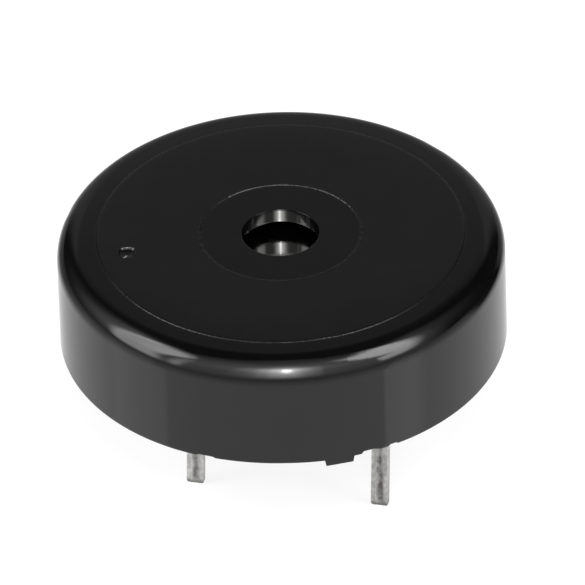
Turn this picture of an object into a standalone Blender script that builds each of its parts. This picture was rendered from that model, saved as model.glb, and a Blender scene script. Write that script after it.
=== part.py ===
"""A round piezo buzzer that stands on a circuit board by two flat pins, 10 mm apart.

Blender 4.5 script, in metres, +Z up. The origin lies on the surface of the board that carries the
buzzer, midway between the two pins: Z = 0 is where the three standoffs rest, +Z points out of the
sound hole, and +X runs along the line of the pins.

The sizes are a stack. Radii add up from the diaphragm outwards to the case's wall, and heights add up
from the carrying board to the case's top face, so a changed size moves all that lies beyond it.
"""

import math

import bmesh
import bpy
from mathutils import Matrix, Vector

MM = 0.001

# ---------------------------------------------------------------- driving dimensions

# Clearances
SEAT_GAP = 0.03 * MM  # between two pieces that rest on each other
SLIDE_GAP = 0.05 * MM  # round a piece that is pushed into a hole or a bore
CUT_MARGIN = 0.3 * MM  # how far a cutter runs past the face that it cuts

# Radii, from the diaphragm outwards
DIAPHRAGM_RADIUS = 10.0 * MM
CERAMIC_MARGIN = 3.0 * MM  # bare metal round the ceramic
SILVER_MARGIN = 0.4 * MM  # bare ceramic round the silver
POCKET_CLEARANCE = 0.15 * MM  # round the diaphragm in its pocket
LEDGE_WIDTH = 0.95 * MM  # what the diaphragm's edge bears on
POCKET_STEP = 0.6 * MM  # how much narrower the pocket is than the bore below it
SIDE_WALL = 1.0 * MM
BASE_SEAT_STEP = 0.25 * MM  # how much wider the bore is where it takes the base plate
DRAFT = 0.04 * MM  # how much wider the rim is than the top of the wall

# Heights, from the carrying board upwards
STANDOFF_HEIGHT = 0.45 * MM
BASE_RECESS = 0.3 * MM  # from the rim up to the base plate
BASE_THICKNESS = 1.0 * MM
BOARD_RIB_HEIGHT = 0.45 * MM
BOARD_THICKNESS = 0.8 * MM
HEADROOM = 0.7 * MM  # between the tallest component and the diaphragm's silver
SILVER_THICKNESS = 0.04 * MM
CERAMIC_THICKNESS = 0.2 * MM
DIAPHRAGM_THICKNESS = 0.2 * MM
SOUND_CAVITY_DEPTH = 0.6 * MM
ROOF_THICKNESS = 0.8 * MM
BAND_RISE = 0.05 * MM  # how far the face's sparked band stands proud

# Top face and shoulder
CORNER_RADIUS = 1.35 * MM
SOUND_HOLE_RADIUS = 2.03 * MM
HOLE_EDGE_RADIUS = 0.08 * MM
BAND_INNER_RADIUS = 4.22 * MM
BAND_SETBACK = 0.69 * MM  # from the shoulder's round in to the band
BAND_SLOPE = 0.06 * MM  # width of the band's sloping edges
GATE_RADIUS = 0.36 * MM  # round dimple that the mould's gate leaves
GATE_FLOOR_RADIUS = 0.28 * MM
GATE_DEPTH = 0.08 * MM
GATE_NUB_RADIUS = 0.1 * MM
GATE_NUB_HEIGHT = 0.05 * MM
GATE_SETBACK = 1.55 * MM  # from the band's outer edge to the dimple's centre
GATE_ANGLE = -155.5

# Rim
STANDOFF_COUNT = 3
STANDOFF_FIRST_ANGLE = -62.3
STANDOFF_WIDTH = 1.5 * MM
STANDOFF_TAPER = 0.06 * MM  # what each side loses from the rim to the foot
NOTCHES = (  # angle of its middle, width and depth of each shallow notch
    (-51.2, 2.1 * MM, 0.12 * MM),
    (-97.9, 1.3 * MM, 0.07 * MM),
)
NOTCH_SLOPE = 0.15 * MM

# Diaphragm pocket and its silicone ring
ADHESIVE_HEIGHT = 0.35 * MM
POCKET_SKIRT = 0.15 * MM  # how far the pocket runs on below the silicone

# Base plate
RIB_SETBACK = 1.6 * MM  # from the plate's edge to the rib that carries the board
RIB_WIDTH = 0.7 * MM
SEALANT_WIDTH = 0.7 * MM
SEALANT_SETBACK = 0.07 * MM  # from the rim up to the sealant

# Pins
PIN_PITCH = 10.0 * MM
PIN_WIDTH = 0.9 * MM
PIN_THICKNESS = 0.4 * MM
PIN_REACH = 10.35 * MM  # below the carrying board's surface
PIN_TAIL = 0.6 * MM  # above the inner board
PIN_SHOULDER_WIDTH = 1.7 * MM
PIN_SHOULDER_THICKNESS = 0.28 * MM
PIN_TIP_CHAMFER = 0.12 * MM
PIN_EDGE_RADIUS = 0.08 * MM
PIN_GROOVE_WIDTH = 0.3 * MM
PIN_GROOVE_DEPTH = 0.05 * MM

# Inner board and what is on it
BOARD_CLEARANCE = 0.15 * MM  # round the board in the bore
PIN_SOLDER_WIDTH = 0.42 * MM
PIN_SOLDER_HEIGHT = 0.45 * MM
TRANSISTOR_SIZE = (2.9 * MM, 1.3 * MM, 1.0 * MM)
TRANSISTOR_LIFT = 0.06 * MM
TRANSISTOR_Y = -3.6 * MM
TRANSISTOR_EDGE = 0.08 * MM
LEG_SPACING = 0.95 * MM  # from the middle leg to each of the two opposite
LEG_WIDTH = 0.42 * MM
LEG_THICKNESS = 0.12 * MM
LEG_STRAIGHT = 0.22 * MM
LEG_DROP = 0.16 * MM
LEG_FOOT = 0.35 * MM
CHIP_LENGTH = 2.0 * MM
CHIP_WIDTH = 1.2 * MM
RESISTOR_HEIGHT = 0.45 * MM
CAPACITOR_HEIGHT = 0.75 * MM
CHIP_END_LENGTH = 0.4 * MM
CHIP_PLATING = 0.05 * MM
CHIP_PITCH = 2.1 * MM
CHIP_FIRST_Y = -0.8 * MM

# Leads from the inner board to the diaphragm
WIRE_RADIUS = 0.15 * MM
WIRE_BEND = 0.9 * MM  # how far each end aims straight up or down
WIRE_BOW = 0.35 * MM
WIRE_POINTS = 14
PAD_INSET = 2.5 * MM  # from the inner board's edge to the solder pads
WIRE_SWEEP = 18.0  # degrees round the axis from a wire's upper end to its pad
DOT_RADIUS = 0.5 * MM
DOT_TOP_RADIUS = 0.22 * MM
DOT_HEIGHT = 0.25 * MM
PLATE_WIRE_ANGLE = 50.0
MAIN_WIRE_ANGLE = 155.0
FEEDBACK_WIRE_ANGLE = 226.0
MAIN_DOT_INSET = 2.4 * MM  # from the silver's edge
TONGUE_LENGTH = 3.0 * MM  # of the feedback electrode
TONGUE_WIDTH = 1.8 * MM
TONGUE_GAP = 0.35 * MM

# Facets of a full turn, or of one rounded corner
CASE_STEPS = 96
DISC_STEPS = 64
RING_STEPS = 48
SMALL_STEPS = 16
CORNER_STEPS = 9
EDGE_STEPS = 2

# ---------------------------------------------------------------- sizes that follow

CERAMIC_RADIUS = DIAPHRAGM_RADIUS - CERAMIC_MARGIN
SILVER_RADIUS = CERAMIC_RADIUS - SILVER_MARGIN
POCKET_RADIUS = DIAPHRAGM_RADIUS + POCKET_CLEARANCE
CAVITY_RADIUS = POCKET_RADIUS - LEDGE_WIDTH
BORE_RADIUS = POCKET_RADIUS + POCKET_STEP
SEAT_RADIUS = BORE_RADIUS + BASE_SEAT_STEP
WALL_RADIUS = BORE_RADIUS + SIDE_WALL - DRAFT / 2
RIM_RADIUS = WALL_RADIUS + DRAFT
BAND_OUTER_RADIUS = WALL_RADIUS - CORNER_RADIUS - BAND_SETBACK
BASE_RADIUS = SEAT_RADIUS - SLIDE_GAP
BOARD_RADIUS = BORE_RADIUS - BOARD_CLEARANCE
PAD_RADIUS = BOARD_RADIUS - PAD_INSET
PLATE_DOT_RADIUS = (CERAMIC_RADIUS + CAVITY_RADIUS) / 2
MAIN_DOT_RADIUS = SILVER_RADIUS - MAIN_DOT_INSET
FEEDBACK_DOT_RADIUS = SILVER_RADIUS - TONGUE_LENGTH / 2
PIN_HALF_DIAGONAL = math.hypot(PIN_WIDTH, PIN_THICKNESS) / 2

RIM_Z = STANDOFF_HEIGHT
BASE_BOTTOM_Z = RIM_Z + BASE_RECESS
BASE_TOP_Z = BASE_BOTTOM_Z + BASE_THICKNESS
SEAT_Z = BASE_TOP_Z + SEAT_GAP
RIB_TOP_Z = BASE_TOP_Z + BOARD_RIB_HEIGHT
BOARD_BOTTOM_Z = RIB_TOP_Z + SEAT_GAP
BOARD_TOP_Z = BOARD_BOTTOM_Z + BOARD_THICKNESS
SILVER_BOTTOM_Z = BOARD_TOP_Z + TRANSISTOR_LIFT + TRANSISTOR_SIZE[2] + HEADROOM
SILVER_TOP_Z = SILVER_BOTTOM_Z + SILVER_THICKNESS
CERAMIC_BOTTOM_Z = SILVER_TOP_Z + SEAT_GAP
CERAMIC_TOP_Z = CERAMIC_BOTTOM_Z + CERAMIC_THICKNESS
PLATE_BOTTOM_Z = CERAMIC_TOP_Z + SEAT_GAP
PLATE_TOP_Z = PLATE_BOTTOM_Z + DIAPHRAGM_THICKNESS
LEDGE_Z = PLATE_TOP_Z + SEAT_GAP
ROOF_Z = LEDGE_Z + SOUND_CAVITY_DEPTH
FACE_Z = ROOF_Z + ROOF_THICKNESS
BAND_Z = FACE_Z + BAND_RISE
ADHESIVE_TOP_Z = PLATE_BOTTOM_Z - SEAT_GAP
ADHESIVE_BOTTOM_Z = ADHESIVE_TOP_Z - ADHESIVE_HEIGHT
POCKET_BOTTOM_Z = ADHESIVE_BOTTOM_Z - POCKET_SKIRT

# ---------------------------------------------------------------- materials

MATERIALS = {  # linear colour, roughness, metallic
    "gloss_black_plastic": ((0.013, 0.013, 0.014), 0.18, 0.0),
    "matte_black_plastic": ((0.02, 0.02, 0.02), 0.5, 0.0),
    "tinned_steel": ((0.62, 0.61, 0.58), 0.35, 1.0),
    "nickel_alloy": ((0.60, 0.59, 0.56), 0.12, 1.0),
    "piezo_ceramic": ((0.62, 0.57, 0.45), 0.6, 0.0),
    "silver_print": ((0.75, 0.75, 0.72), 0.4, 1.0),
    "clear_silicone": ((0.70, 0.70, 0.68), 0.35, 0.0),
    "green_board": ((0.02, 0.13, 0.06), 0.45, 0.0),
    "black_epoxy": ((0.015, 0.015, 0.016), 0.4, 0.0),
    "white_alumina": ((0.72, 0.71, 0.68), 0.6, 0.0),
    "tan_ceramic": ((0.42, 0.29, 0.17), 0.55, 0.0),
    "solder": ((0.66, 0.66, 0.66), 0.25, 1.0),
    "white_insulation": ((0.75, 0.74, 0.70), 0.5, 0.0),
}


def principled(name):
    """The named material, made on first use."""
    found = bpy.data.materials.get(name)
    if found:
        return found
    colour, roughness, metallic = MATERIALS[name]
    made = bpy.data.materials.new(name)
    made.use_nodes = True
    shader = made.node_tree.nodes["Principled BSDF"]
    shader.inputs["Base Color"].default_value = (*colour, 1.0)
    shader.inputs["Roughness"].default_value = roughness
    shader.inputs["Metallic"].default_value = metallic
    made.diffuse_color = (*colour, 1.0)
    return made


# ---------------------------------------------------------------- modelling helpers


def empty_scene():
    """Removes every object, and makes one collection for the pieces and one for their cutters."""
    for old in list(bpy.data.objects):
        bpy.data.objects.remove(old, do_unlink=True)
    for name in ("buzzer", "cutters"):
        bpy.context.scene.collection.children.link(bpy.data.collections.new(name))


def add_piece(name, data, material, place=(0, 0, 0), turn=0.0):
    """Adds an object of the buzzer at a place, turned by some degrees about +Z."""
    piece = bpy.data.objects.new(name, data)
    bpy.data.collections["buzzer"].objects.link(piece)
    piece.location = place
    piece.rotation_euler.z = math.radians(turn)
    data.materials.append(principled(material))
    return piece


def add_cutter(name, data, place=(0, 0, 0), turn=0.0):
    """Adds an object that only cuts others, at a place, turned by some degrees about +Z."""
    cutter = bpy.data.objects.new(name, data)
    bpy.data.collections["cutters"].objects.link(cutter)
    cutter.location = place
    cutter.rotation_euler.z = math.radians(turn)
    cutter.hide_render = True
    cutter.display_type = "WIRE"
    return cutter


def boolean(piece, cutter, operation="DIFFERENCE"):
    """Combines a piece with a cutter by an exact Boolean."""
    modifier = piece.modifiers.new(cutter.name, "BOOLEAN")
    modifier.operation = operation
    modifier.solver = "EXACT"
    modifier.object = cutter


def mesh_from(name, build):
    """A mesh filled by build, a function that takes an empty bmesh."""
    shape = bmesh.new()
    build(shape)
    mesh = bpy.data.meshes.new(name)
    shape.to_mesh(mesh)
    shape.free()
    return mesh


def box_mesh(name, size, centre=(0, 0, 0)):
    """A box of a size about a centre."""
    matrix = Matrix.Translation(centre) @ Matrix.Diagonal((*size, 1.0))
    return mesh_from(name, lambda shape: bmesh.ops.create_cube(shape, size=1.0, matrix=matrix))


def disc_mesh(name, radius, bottom, top, steps):
    """An upright cylinder about the Z axis between two heights."""
    matrix = Matrix.Translation((0, 0, (bottom + top) / 2))

    def build(shape):
        bmesh.ops.create_cone(
            shape, cap_ends=True, segments=steps, radius1=radius, radius2=radius,
            depth=top - bottom, matrix=matrix)

    mesh = mesh_from(name, build)
    mesh.shade_smooth()
    mesh.set_sharp_from_angle(angle=math.radians(40))
    return mesh


def profile_mesh(name, profile, closed):
    """The edges of a section given as (radius, height) points."""

    def build(shape):
        corners = [shape.verts.new((radius, 0, height)) for radius, height in profile]
        for first, second in zip(corners, corners[1:]):
            shape.edges.new((first, second))
        if closed:
            shape.edges.new((corners[-1], corners[0]))

    return mesh_from(name, build)


def turn_about_z(piece, steps):
    """Turns a section into a full round body. The section runs clockwise, or down from the axis."""
    screw = piece.modifiers.new("turned", "SCREW")
    screw.axis = "Z"
    screw.steps = steps
    screw.render_steps = steps
    screw.use_merge_vertices = True
    screw.merge_threshold = 1e-7
    screw.use_smooth_shade = True


def arc(centre, radius, first, last, steps):
    """Points on a round from one angle to another, in degrees, both ends included."""
    points = []
    for step in range(steps + 1):
        angle = math.radians(first + (last - first) * step / steps)
        points.append((centre[0] + radius * math.cos(angle), centre[1] + radius * math.sin(angle)))
    return points


def outline_mesh(name, outline, thickness):
    """A flat outline of (x, y) points, filled and given a thickness about its plane, as a mesh."""
    curve = bpy.data.curves.new(name, "CURVE")
    curve.dimensions = "2D"
    curve.fill_mode = "BOTH"
    curve.extrude = thickness / 2
    spline = curve.splines.new("POLY")
    spline.points.add(len(outline) - 1)
    for point, (x, y) in zip(spline.points, outline):
        point.co = (x, y, 0, 1)
    spline.use_cyclic_u = True
    holder = bpy.data.objects.new(name, curve)
    bpy.context.scene.collection.objects.link(holder)
    evaluated = holder.evaluated_get(bpy.context.evaluated_depsgraph_get())
    mesh = bpy.data.meshes.new_from_object(evaluated)
    bpy.data.objects.remove(holder, do_unlink=True)
    bpy.data.curves.remove(curve)
    shape = bmesh.new()
    shape.from_mesh(mesh)
    bmesh.ops.remove_doubles(shape, verts=shape.verts, dist=1e-8)
    bmesh.ops.dissolve_limit(shape, angle_limit=math.radians(1), verts=shape.verts, edges=shape.edges)
    bmesh.ops.recalc_face_normals(shape, faces=shape.faces)
    shape.to_mesh(mesh)
    shape.free()
    mesh.name = name
    return mesh


def bevel(piece, width, steps=EDGE_STEPS):
    """Rounds a piece's sharp edges."""
    modifier = piece.modifiers.new("rounded", "BEVEL")
    modifier.width = width
    modifier.segments = steps
    modifier.limit_method = "ANGLE"
    modifier.angle_limit = math.radians(40)


def on_circle(radius, angle, height=0.0):
    """The point at a radius, an angle in degrees and a height."""
    turn = math.radians(angle)
    return Vector((radius * math.cos(turn), radius * math.sin(turn), height))


# ---------------------------------------------------------------- case


def case_section():
    """The case's section, clockwise from the sound hole's upper edge."""
    hole_edge = (SOUND_HOLE_RADIUS + HOLE_EDGE_RADIUS, FACE_Z - HOLE_EDGE_RADIUS)
    corner = (WALL_RADIUS - CORNER_RADIUS, FACE_Z - CORNER_RADIUS)
    face = [
        (BAND_INNER_RADIUS, FACE_Z),
        (BAND_INNER_RADIUS + BAND_SLOPE, BAND_Z),
        (BAND_OUTER_RADIUS - BAND_SLOPE, BAND_Z),
        (BAND_OUTER_RADIUS, FACE_Z),
    ]
    foot_and_inside = [
        (RIM_RADIUS, 0.0),
        (SEAT_RADIUS, 0.0),
        (SEAT_RADIUS, SEAT_Z),
        (BORE_RADIUS, SEAT_Z),
        (BORE_RADIUS, POCKET_BOTTOM_Z),
        (POCKET_RADIUS, POCKET_BOTTOM_Z),
        (POCKET_RADIUS, LEDGE_Z),
        (CAVITY_RADIUS, LEDGE_Z),
        (CAVITY_RADIUS, ROOF_Z),
        (SOUND_HOLE_RADIUS, ROOF_Z),
    ]
    hole_round = arc(hole_edge, HOLE_EDGE_RADIUS, 180, 90, EDGE_STEPS)
    return hole_round + face + arc(corner, CORNER_RADIUS, 90, 0, CORNER_STEPS) + foot_and_inside


def radial_prism(name, outline, angle):
    """A cutter through the rim at an angle: an outline across the radius, as (sideways, height)."""
    length = RIM_RADIUS - SEAT_RADIUS + 4 * CUT_MARGIN
    mesh = outline_mesh(name, outline, length)
    mesh.transform(Matrix.Rotation(math.radians(90), 4, "Z") @ Matrix.Rotation(math.radians(90), 4, "X"))
    return add_cutter(name, mesh, on_circle((RIM_RADIUS + SEAT_RADIUS) / 2, angle), angle)


def standoff_block(number):
    """What a standoff keeps of the rim's relief: it tapers towards its foot."""
    top = RIM_Z + CUT_MARGIN
    bottom = -2 * CUT_MARGIN
    slope = STANDOFF_TAPER / STANDOFF_HEIGHT
    half_top = STANDOFF_WIDTH / 2 + slope * CUT_MARGIN
    half_bottom = half_top - slope * (top - bottom)
    outline = [(-half_top, top), (half_top, top), (half_bottom, bottom), (-half_bottom, bottom)]
    angle = STANDOFF_FIRST_ANGLE + 360.0 * number / STANDOFF_COUNT
    return radial_prism(f"cut_standoff_{number + 1}", outline, angle)


def notch_block(number):
    """One of the rim's shallow notches, with sloping ends."""
    angle, width, depth = NOTCHES[number]
    top = RIM_Z + depth
    bottom = RIM_Z - CUT_MARGIN
    half_top = width / 2 - NOTCH_SLOPE
    half_bottom = width / 2 + NOTCH_SLOPE * CUT_MARGIN / depth
    outline = [(-half_top, top), (half_top, top), (half_bottom, bottom), (-half_bottom, bottom)]
    return radial_prism(f"cut_notch_{number + 1}", outline, angle)


def rim_relief():
    """Cuts the wall back to the rim between the standoffs, and cuts the notches."""
    across = 2 * (RIM_RADIUS + CUT_MARGIN)
    height = RIM_Z + CUT_MARGIN
    slab = box_mesh("cut_rim_relief", (across, across, height))
    relief = add_cutter("cut_rim_relief", slab, (0, 0, RIM_Z - height / 2))
    for number in range(STANDOFF_COUNT):
        boolean(relief, standoff_block(number))
    for number in range(len(NOTCHES)):
        boolean(relief, notch_block(number), "UNION")
    return relief


def gate_dimple():
    """Cuts the gate's round dimple into the band, round a small nub."""
    floor = BAND_Z - GATE_DEPTH
    above = BAND_Z + CUT_MARGIN
    section = [
        (0.0, above),
        (GATE_RADIUS, above),
        (GATE_RADIUS, BAND_Z),
        (GATE_FLOOR_RADIUS, floor),
        (GATE_NUB_RADIUS, floor),
        (GATE_NUB_RADIUS, floor + GATE_NUB_HEIGHT),
        (0.0, floor + GATE_NUB_HEIGHT),
    ]
    place = on_circle(BAND_OUTER_RADIUS - GATE_SETBACK, GATE_ANGLE)
    dimple = add_cutter("cut_gate_dimple", profile_mesh("cut_gate_dimple", section, closed=False), place)
    turn_about_z(dimple, SMALL_STEPS)
    return dimple


def make_case():
    """The moulded housing: roof, shoulder, wall, diaphragm seat, rim, standoffs."""
    case = add_piece("case", profile_mesh("case", case_section(), closed=True), "gloss_black_plastic")
    turn_about_z(case, CASE_STEPS)
    boolean(case, rim_relief())
    boolean(case, gate_dimple())


# ---------------------------------------------------------------- diaphragm


def make_diaphragm():
    """The metal plate under the case's ledge, and the ceramic bonded below it."""
    plate = disc_mesh("diaphragm_plate", DIAPHRAGM_RADIUS, PLATE_BOTTOM_Z, PLATE_TOP_Z, DISC_STEPS)
    add_piece("diaphragm_plate", plate, "nickel_alloy")
    ceramic = disc_mesh("piezo_ceramic", CERAMIC_RADIUS, CERAMIC_BOTTOM_Z, CERAMIC_TOP_Z, DISC_STEPS)
    add_piece("piezo_ceramic", ceramic, "piezo_ceramic")


def tongue_cutter(name, grow):
    """The feedback electrode's tongue, grown all round: it runs out past the silver's edge."""
    half = TONGUE_WIDTH / 2 + grow
    inner_end = (SILVER_RADIUS - TONGUE_LENGTH + TONGUE_WIDTH / 2, 0.0)
    outer = SILVER_RADIUS + CUT_MARGIN
    outline = [(outer, half)] + arc(inner_end, half, 90, 270, SMALL_STEPS // 2) + [(outer, -half)]
    mesh = outline_mesh(name, outline, SILVER_THICKNESS + 2 * CUT_MARGIN)
    middle = (0, 0, (SILVER_BOTTOM_Z + SILVER_TOP_Z) / 2)
    return add_cutter(name, mesh, middle, FEEDBACK_WIRE_ANGLE)


def make_electrodes():
    """The ceramic's silvered face: a round electrode with a tongue set apart for feedback."""
    for name, grow, operation in (
            ("main_electrode", TONGUE_GAP, "DIFFERENCE"), ("feedback_electrode", 0.0, "INTERSECT")):
        silver = disc_mesh(name, SILVER_RADIUS, SILVER_BOTTOM_Z, SILVER_TOP_Z, DISC_STEPS)
        piece = add_piece(name, silver, "silver_print")
        boolean(piece, tongue_cutter("cut_" + name, grow), operation)


def make_adhesive():
    """The silicone ring in the pocket, under the plate's edge."""
    outer = POCKET_RADIUS - SEAT_GAP
    section = [
        (CAVITY_RADIUS, ADHESIVE_TOP_Z),
        (outer, ADHESIVE_TOP_Z),
        (outer, ADHESIVE_BOTTOM_Z),
        ((CAVITY_RADIUS + outer) / 2, (ADHESIVE_TOP_Z + ADHESIVE_BOTTOM_Z) / 2),
    ]
    ring = add_piece("diaphragm_adhesive", profile_mesh("diaphragm_adhesive", section, True), "clear_silicone")
    turn_about_z(ring, RING_STEPS)


# ---------------------------------------------------------------- base plate


def make_base_plate():
    """The disc that closes the case from below, with a rib for the inner board and slots for the pins."""
    rib_outer = BASE_RADIUS - RIB_SETBACK
    rib_inner = rib_outer - RIB_WIDTH
    section = [
        (0.0, BASE_TOP_Z),
        (rib_inner, BASE_TOP_Z),
        (rib_inner, RIB_TOP_Z),
        (rib_outer, RIB_TOP_Z),
        (rib_outer, BASE_TOP_Z),
        (BASE_RADIUS, BASE_TOP_Z),
        (BASE_RADIUS, BASE_BOTTOM_Z),
        (0.0, BASE_BOTTOM_Z),
    ]
    base = add_piece("base_plate", profile_mesh("base_plate", section, closed=False), "matte_black_plastic")
    turn_about_z(base, DISC_STEPS)
    slot = (PIN_WIDTH + 2 * SLIDE_GAP, PIN_THICKNESS + 2 * SLIDE_GAP, BASE_THICKNESS + 2 * CUT_MARGIN)
    for name, x in pin_places():
        mesh = box_mesh("cut_slot_" + name, slot)
        boolean(base, add_cutter("cut_slot_" + name, mesh, (x, 0, (BASE_BOTTOM_Z + BASE_TOP_Z) / 2)))


def make_sealant():
    """The bead of resin between the base plate's underside and the case's wall."""
    outer = SEAT_RADIUS - SEAT_GAP
    top = BASE_BOTTOM_Z - SEAT_GAP
    bottom = RIM_Z + SEALANT_SETBACK
    section = [
        (outer - SEALANT_WIDTH, top),
        (outer, top),
        (outer, bottom),
        (outer - SEALANT_WIDTH / 2, (2 * top + bottom) / 3),
    ]
    bead = add_piece("base_sealant", profile_mesh("base_sealant", section, closed=True), "black_epoxy")
    turn_about_z(bead, RING_STEPS)


# ---------------------------------------------------------------- pins


def pin_places():
    """Each pin's side and its x."""
    return (("left", -PIN_PITCH / 2), ("right", PIN_PITCH / 2))


def pin_outline():
    """The pin's straight blank as (across, up), with its lower corners cropped."""
    half = PIN_WIDTH / 2
    tip = -PIN_REACH
    right = [
        (half - PIN_TIP_CHAMFER, tip),
        (half, tip + PIN_TIP_CHAMFER),
        (half, BOARD_TOP_Z + PIN_TAIL),
    ]
    left = [(-x, z) for x, z in reversed(right)]
    return right + left


def pin_shoulder(name, x):
    """The coined wings that hold a pin between the base plate and the inner board."""
    low = BASE_TOP_Z + SEAT_GAP
    high = BOARD_BOTTOM_Z - SEAT_GAP
    wings = box_mesh("add_shoulder_" + name, (PIN_SHOULDER_WIDTH, PIN_SHOULDER_THICKNESS, high - low))
    return add_cutter(wings.name, wings, (x, 0, (low + high) / 2))


def make_pins():
    """Two stamped strips with rounded edges, and a shallow groove down each broad face."""
    upright = Matrix.Rotation(math.radians(90), 4, "X")
    bottom = -PIN_REACH - CUT_MARGIN
    top = BOARD_TOP_Z + PIN_TAIL + CUT_MARGIN
    for name, x in pin_places():
        mesh = outline_mesh("pin_" + name, pin_outline(), PIN_THICKNESS)
        mesh.transform(upright)
        pin = add_piece("pin_" + name, mesh, "tinned_steel", (x, 0, 0))
        bevel(pin, PIN_EDGE_RADIUS)
        for face, side in (("front", -1), ("back", 1)):
            groove = box_mesh(
                f"cut_groove_{name}_{face}", (PIN_GROOVE_WIDTH, 2 * PIN_GROOVE_DEPTH, top - bottom),
                (0, side * PIN_THICKNESS / 2, (top + bottom) / 2))
            boolean(pin, add_cutter(groove.name, groove, (x, 0, 0)))
        boolean(pin, pin_shoulder(name, x), "UNION")


def make_pin_solder():
    """The solder fillet round each pin, on the inner board."""
    inner = PIN_HALF_DIAGONAL + SEAT_GAP
    outer = inner + PIN_SOLDER_WIDTH
    bottom = BOARD_TOP_Z + SEAT_GAP
    top = bottom + PIN_SOLDER_HEIGHT
    section = [
        (inner, top),
        (inner + PIN_SOLDER_WIDTH / 5, top),
        (inner + PIN_SOLDER_WIDTH / 2, (top + 2 * bottom) / 3),
        (outer, bottom),
        (inner, bottom),
    ]
    for name, x in pin_places():
        mesh = profile_mesh("pin_solder_" + name, section, closed=True)
        turn_about_z(add_piece("pin_solder_" + name, mesh, "solder", (x, 0, 0)), SMALL_STEPS)


# ---------------------------------------------------------------- inner board


def make_board():
    """The round circuit board on the base plate's rib, drilled for the pins."""
    board = add_piece(
        "circuit_board", disc_mesh("circuit_board", BOARD_RADIUS, BOARD_BOTTOM_Z, BOARD_TOP_Z, DISC_STEPS),
        "green_board")
    for name, x in pin_places():
        drill = disc_mesh(
            "cut_drill_" + name, PIN_HALF_DIAGONAL + SLIDE_GAP, BOARD_BOTTOM_Z - CUT_MARGIN,
            BOARD_TOP_Z + CUT_MARGIN, SMALL_STEPS)
        boolean(board, add_cutter(drill.name, drill, (x, 0, 0)))


def leg_mesh(name):
    """A gull-wing leg that leaves the transistor's side towards +Y and lands on the board."""
    shoulder = TRANSISTOR_LIFT + TRANSISTOR_SIZE[2] / 2
    foot = SEAT_GAP + LEG_THICKNESS / 2
    start = TRANSISTOR_SIZE[1] / 2 + SEAT_GAP
    bend = start + LEG_STRAIGHT
    landing = bend + LEG_DROP
    path = [(start, shoulder), (bend, shoulder), (landing, foot), (landing + LEG_FOOT, foot)]

    def build(shape):
        corners = [shape.verts.new((-LEG_WIDTH / 2, y, z)) for y, z in path]
        edges = [shape.edges.new(pair) for pair in zip(corners, corners[1:])]
        swept = bmesh.ops.extrude_edge_only(shape, edges=edges)["geom"]
        moved = [item for item in swept if isinstance(item, bmesh.types.BMVert)]
        bmesh.ops.translate(shape, verts=moved, vec=(LEG_WIDTH, 0, 0))
        bmesh.ops.recalc_face_normals(shape, faces=shape.faces)

    return mesh_from(name, build)


def make_transistor():
    """The moulded transistor with one leg on its +Y side and two on its -Y side."""
    size = TRANSISTOR_SIZE
    centre_z = BOARD_TOP_Z + TRANSISTOR_LIFT + size[2] / 2
    body = add_piece(
        "transistor_body", box_mesh("transistor_body", size), "black_epoxy", (0, TRANSISTOR_Y, centre_z))
    bevel(body, TRANSISTOR_EDGE, 1)
    for name, x, turn in (
            ("collector", 0.0, 0.0), ("base", -LEG_SPACING, 180.0), ("emitter", LEG_SPACING, 180.0)):
        leg = add_piece(
            "transistor_" + name, leg_mesh("transistor_" + name), "tinned_steel",
            (x, TRANSISTOR_Y, BOARD_TOP_Z), turn)
        thick = leg.modifiers.new("thickness", "SOLIDIFY")
        thick.thickness = LEG_THICKNESS
        thick.offset = 0.0
        thick.use_even_offset = True


def chip_end_mesh(name, height):
    """The inner skin of a chip's metal end at its +X end: a box that is open towards the middle."""
    size = (CHIP_END_LENGTH + SEAT_GAP, CHIP_WIDTH + 2 * SEAT_GAP, height + 2 * SEAT_GAP)
    centre = ((CHIP_LENGTH - CHIP_END_LENGTH + SEAT_GAP) / 2, 0, 0)
    matrix = Matrix.Translation(centre) @ Matrix.Diagonal((*size, 1.0))

    def build(shape):
        bmesh.ops.create_cube(shape, size=1.0, matrix=matrix)
        inward = [face for face in shape.faces if face.normal.x < -0.5]
        bmesh.ops.delete(shape, geom=inward, context="FACES_ONLY")

    return mesh_from(name, build)


def make_chip(name, height, y, material):
    """A chip component across the board's middle: a ceramic body with a metal cap on each end."""
    centre = (0, y, BOARD_TOP_Z + 2 * SEAT_GAP + CHIP_PLATING + height / 2)
    body = box_mesh(name + "_body", (CHIP_LENGTH, CHIP_WIDTH, height))
    add_piece(name + "_body", body, material, centre)
    for side, turn in (("left", 180.0), ("right", 0.0)):
        end_name = f"{name}_end_{side}"
        end = add_piece(end_name, chip_end_mesh(end_name, height), "solder", centre, turn)
        plating = end.modifiers.new("plating", "SOLIDIFY")
        plating.thickness = CHIP_PLATING
        plating.offset = 1.0
        plating.use_even_offset = True


def make_chips():
    """Three resistors and a capacitor in a row between the pins."""
    row = (
        ("resistor_1", RESISTOR_HEIGHT, "white_alumina"),
        ("resistor_2", RESISTOR_HEIGHT, "white_alumina"),
        ("resistor_3", RESISTOR_HEIGHT, "white_alumina"),
        ("capacitor", CAPACITOR_HEIGHT, "tan_ceramic"),
    )
    for place, (name, height, material) in enumerate(row):
        make_chip(name, height, CHIP_FIRST_Y + place * CHIP_PITCH, material)


# ---------------------------------------------------------------- leads to the diaphragm


def solder_dot(name, place, up):
    """A low dome of solder on a surface, with a flat crown where the wire meets it."""
    crown = [(0.0, DOT_HEIGHT), (DOT_TOP_RADIUS, DOT_HEIGHT)]
    flank = [((DOT_TOP_RADIUS + 2 * DOT_RADIUS) / 3, DOT_HEIGHT / 2), (DOT_RADIUS, 0.0), (0.0, 0.0)]
    section = crown + flank
    if up < 0:
        section = [(radius, -height) for radius, height in reversed(section)]
    dot = add_piece(name, profile_mesh(name, section, closed=False), "solder", place)
    turn_about_z(dot, SMALL_STEPS)


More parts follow.
